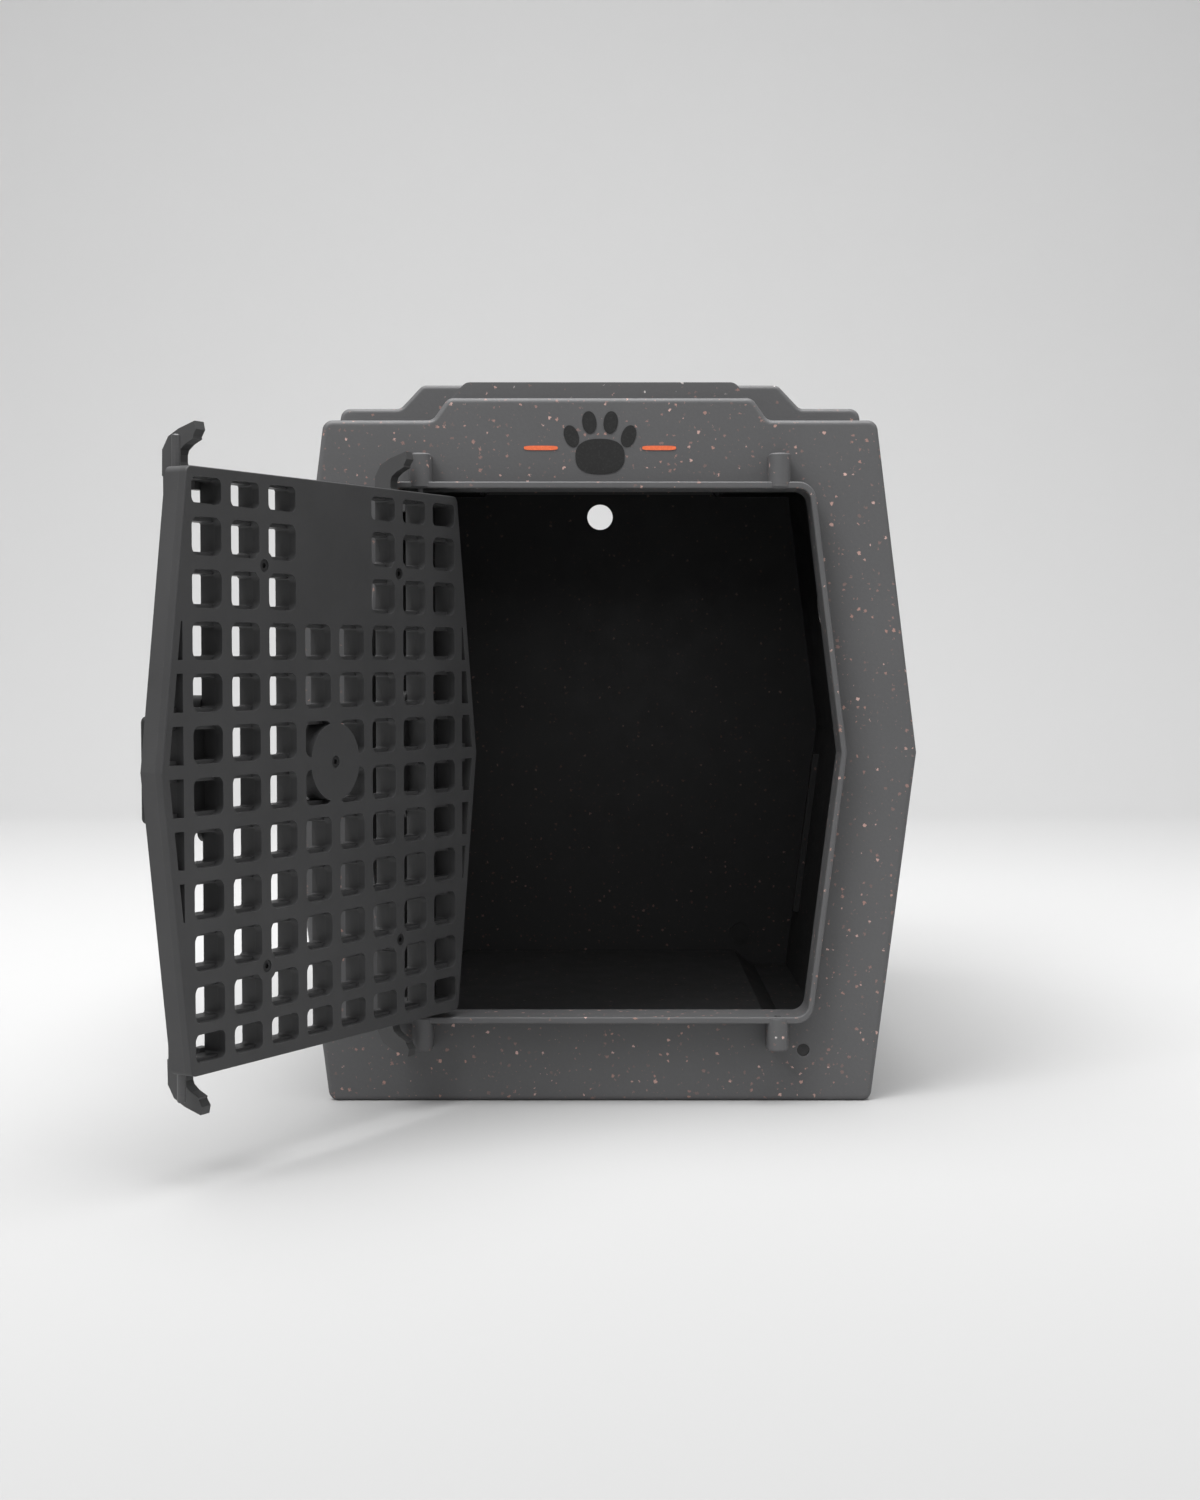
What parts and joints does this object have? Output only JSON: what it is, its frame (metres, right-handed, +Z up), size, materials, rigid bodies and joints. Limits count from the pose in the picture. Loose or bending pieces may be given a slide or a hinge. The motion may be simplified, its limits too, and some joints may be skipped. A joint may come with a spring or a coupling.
{
  "type": "dog kennel",
  "caption": "One-piece moulded pet travel kennel with hexagonal sides and a reversible open-grid door held by spring rods in socket bosses.",
  "frame": {"origin": "centre of the base on the floor, midway between the front and rear faces of the shell", "axes": "+Z up, the doorway faces -Y, +X is to the right of someone facing the doorway"},
  "size_m": [0.5429, 1.0061, 0.567],
  "materials": {
    "shell_plastic": "speckled charcoal moulded polyethylene, satin",
    "plug_plastic": "charcoal moulded plastic",
    "door_plastic": "matt dark grey moulded plastic",
    "hook_plastic": "matt dark grey moulded plastic",
    "latch_plastic": "matt black moulded plastic",
    "rod_metal": "dark coated steel rod",
    "screw_steel": "black oxide steel",
    "spring_steel": "plain spring steel"
  },
  "bodies": {
    "shell": {"body_shell": "shell_plastic", "drain_plug": "plug_plastic"},
    "door": {"door_inner_grid": "door_plastic", "door_outer_grid": "door_plastic", "rod_guides": "latch_plastic", "door_screws": "screw_steel", "latch_housing_hinge_side": "latch_plastic", "latch_housing_free_side": "latch_plastic", "housing_screws": "screw_steel", "hook_screws": "screw_steel", "corner_hook_hinge_side_top": "hook_plastic", "corner_hook_hinge_side_bottom": "hook_plastic", "corner_hook_free_side_top": "hook_plastic", "corner_hook_free_side_bottom": "hook_plastic", "rod_spring_hinge_side_top": "spring_steel", "rod_spring_hinge_side_bottom": "spring_steel", "rod_spring_free_side_top": "spring_steel", "rod_spring_free_side_bottom": "spring_steel"},
    "rod_hinge_side_top": {"latch_rod_hinge_side_top": "rod_metal", "finger_tab_hinge_side_top": "latch_plastic"},
    "rod_hinge_side_bottom": {"latch_rod_hinge_side_bottom": "rod_metal", "finger_tab_hinge_side_bottom": "latch_plastic"},
    "rod_free_side_top": {"latch_rod_free_side_top": "rod_metal", "finger_tab_free_side_top": "latch_plastic"},
    "rod_free_side_bottom": {"latch_rod_free_side_bottom": "rod_metal", "finger_tab_free_side_bottom": "latch_plastic"}
  },
  "joints": [
    {"name": "door_swing", "type": "hinge", "parent": "shell", "child": "door", "pos_m": [-0.137, -0.369, 0.272], "axis": [0, 0, 1], "range_deg": [0, 120.25]},
    {"name": "rod_hinge_side_top_slide", "type": "slide", "parent": "door", "child": "rod_hinge_side_top", "axis": [0, 0, -1], "range_m": [0, 0.018], "stiffness_N_per_m": 150, "springref_m": -0.02, "deforming": ["rod_spring_hinge_side_top"]},
    {"name": "rod_hinge_side_bottom_slide", "type": "slide", "parent": "door", "child": "rod_hinge_side_bottom", "axis": [0, 0, 1], "range_m": [0, 0.018], "stiffness_N_per_m": 150, "springref_m": -0.02, "deforming": ["rod_spring_hinge_side_bottom"]},
    {"name": "rod_free_side_top_slide", "type": "slide", "parent": "door", "child": "rod_free_side_top", "axis": [0, 0, -1], "range_m": [0, 0.018], "stiffness_N_per_m": 150, "springref_m": -0.02, "deforming": ["rod_spring_free_side_top"]},
    {"name": "rod_free_side_bottom_slide", "type": "slide", "parent": "door", "child": "rod_free_side_bottom", "axis": [0, 0, 1], "range_m": [0, 0.018], "stiffness_N_per_m": 150, "springref_m": -0.02, "deforming": ["rod_spring_free_side_bottom"]}
  ]
}
